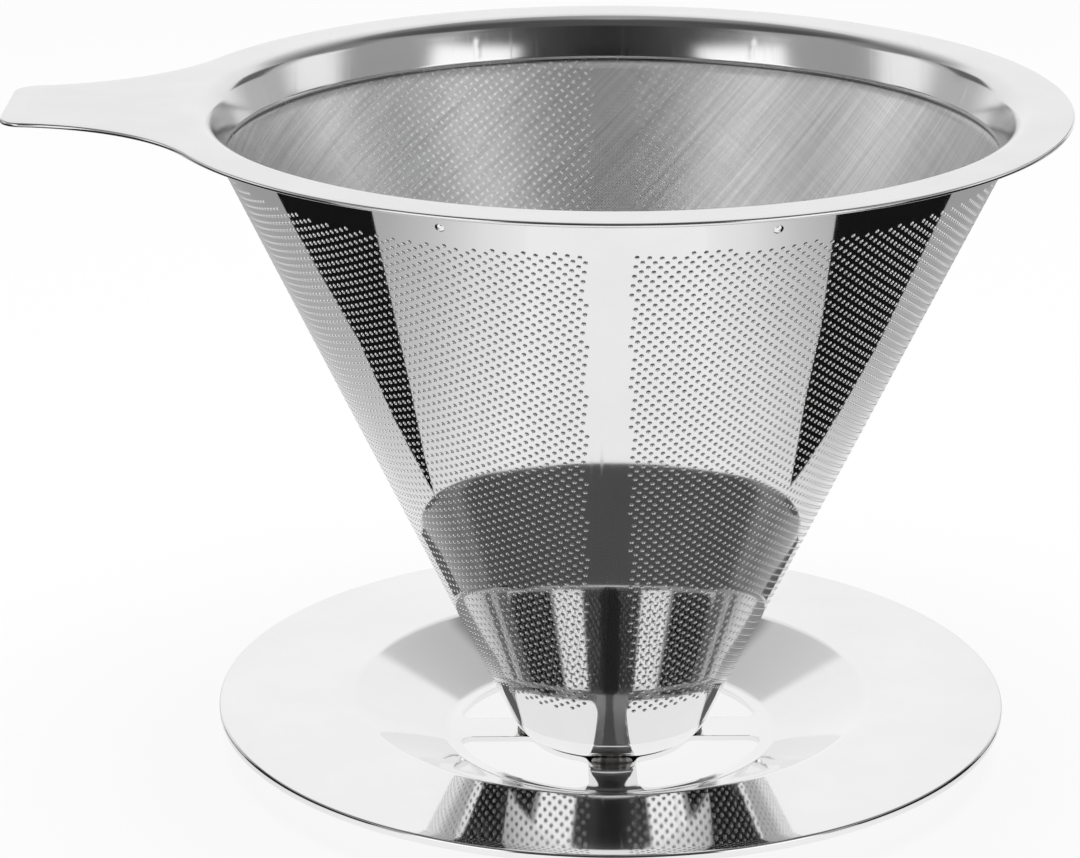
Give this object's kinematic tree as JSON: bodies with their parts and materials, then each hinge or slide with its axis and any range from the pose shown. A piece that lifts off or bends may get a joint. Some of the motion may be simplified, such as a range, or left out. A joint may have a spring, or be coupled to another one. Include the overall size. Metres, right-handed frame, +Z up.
{
  "type": "pour over coffee dripper",
  "caption": "Conical perforated steel coffee dripper with a fine mesh lining and a flat side handle, fixed to a round saucer stand with windows that rests on a mug.",
  "frame": {"origin": "middle of the footprint's bounding box, at the underside of the stand's hub; the cone's axis is 10 mm to the +X side of it", "axes": "+Z up along the cone's axis, the handle points along -X, the plain seam strip faces -Y"},
  "size_m": [0.145, 0.125, 0.0932],
  "materials": {
    "rim_steel": "polished stainless steel with a fine satin haze",
    "perforated_steel": "polished stainless steel sheet with small round holes in staggered rows",
    "hem_steel": "thin folded stainless steel band",
    "woven_steel": "fine woven stainless steel wire mesh",
    "foot_steel": "polished drawn stainless steel",
    "stand_steel": "mirror polished stainless steel",
    "weld_steel": "darkened weld metal"
  },
  "bodies": {
    "root": {"rim_with_handle": "rim_steel", "outer_cone": "perforated_steel", "mesh_hem_ring": "hem_steel", "mesh_cone": "woven_steel", "mesh_floor": "woven_steel", "foot_cup": "foot_steel", "saucer_stand": "stand_steel", "weld_bead_front": "weld_steel", "weld_bead_right": "weld_steel", "weld_bead_back": "weld_steel", "weld_bead_left": "weld_steel"}
  },
  "joints": []
}
